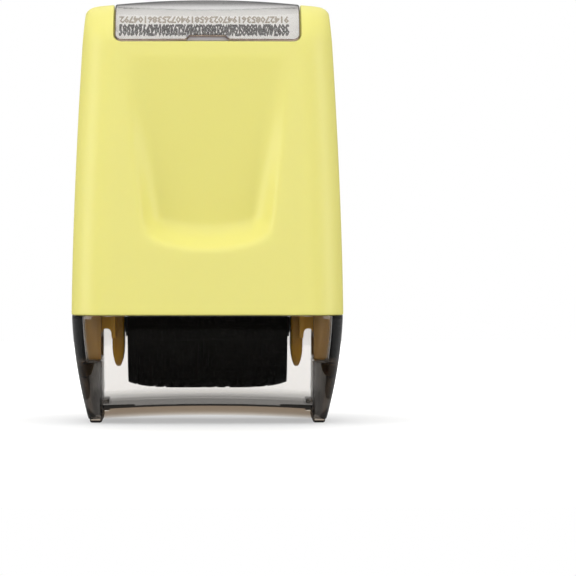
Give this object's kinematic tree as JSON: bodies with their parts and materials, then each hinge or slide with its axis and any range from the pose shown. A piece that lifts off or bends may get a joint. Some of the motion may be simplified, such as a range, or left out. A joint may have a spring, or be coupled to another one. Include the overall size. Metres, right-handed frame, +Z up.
{
  "type": "privacy roller stamp",
  "caption": "Pocket roller stamp that rolls a dense black masking pattern over printed text; its roller sits under a smoked pull-off cap.",
  "frame": {"origin": "on the ground under the middle of the stamp, which stands on the two rails under its cap", "axes": "+Z up to the crown, +X to the right along the rollers' axis, -Y to the front face with the window's nail step"},
  "size_m": [0.042, 0.031, 0.0661],
  "materials": {
    "shell_yellow": "satin moulded, pale yellow",
    "frame_yellow": "satin moulded, amber yellow",
    "smoked_clear": "clear, smoke tinted",
    "window_clear": "clear, lightly tinted",
    "label_paper": "printed film",
    "black_rubber": "ink-stained rubber",
    "black_plastic": "matte moulded",
    "ink_foam": "ink-soaked foam",
    "axle_steel": "drawn wire"
  },
  "bodies": {
    "housing": {"outer_shell": "shell_yellow", "index_label": "label_paper"},
    "window": {"index_window": "window_clear"},
    "roller_unit": {"frame_side_left": "frame_yellow", "frame_side_right": "frame_yellow", "frame_deck": "frame_yellow", "print_axle": "axle_steel"},
    "print_roller": {"print_core": "black_plastic", "print_flange_left": "black_plastic", "print_flange_right": "black_plastic", "print_sleeve": "black_rubber"},
    "ink_roller": {"ink_core": "black_plastic", "ink_foam": "ink_foam", "ink_disc_left": "black_plastic", "ink_disc_right": "black_plastic"},
    "cap": {"cap_shell": "smoked_clear"}
  },
  "joints": [
    {"name": "window_lift", "type": "slide", "parent": "housing", "child": "window", "axis": [0, 0, 1], "range_m": [0, 0.012]},
    {"name": "unit_pull", "type": "slide", "parent": "housing", "child": "roller_unit", "axis": [0, 0, -1], "range_m": [0, 0.024]},
    {"name": "print_spin", "type": "hinge", "parent": "roller_unit", "child": "print_roller", "pos_m": [0, 0, 0.0154], "axis": [1, 0, 0], "continuous": true},
    {"name": "ink_spin", "type": "hinge", "parent": "roller_unit", "child": "ink_roller", "pos_m": [0, 0, 0.0309], "axis": [1, 0, 0], "continuous": true},
    {"name": "cap_pull", "type": "slide", "parent": "roller_unit", "child": "cap", "axis": [0, 0, -1], "range_m": [0, 0.028]}
  ],
  "couplings": [
    {"joint": "ink_spin", "follows": "print_spin", "ratio": -1.923}
  ]
}
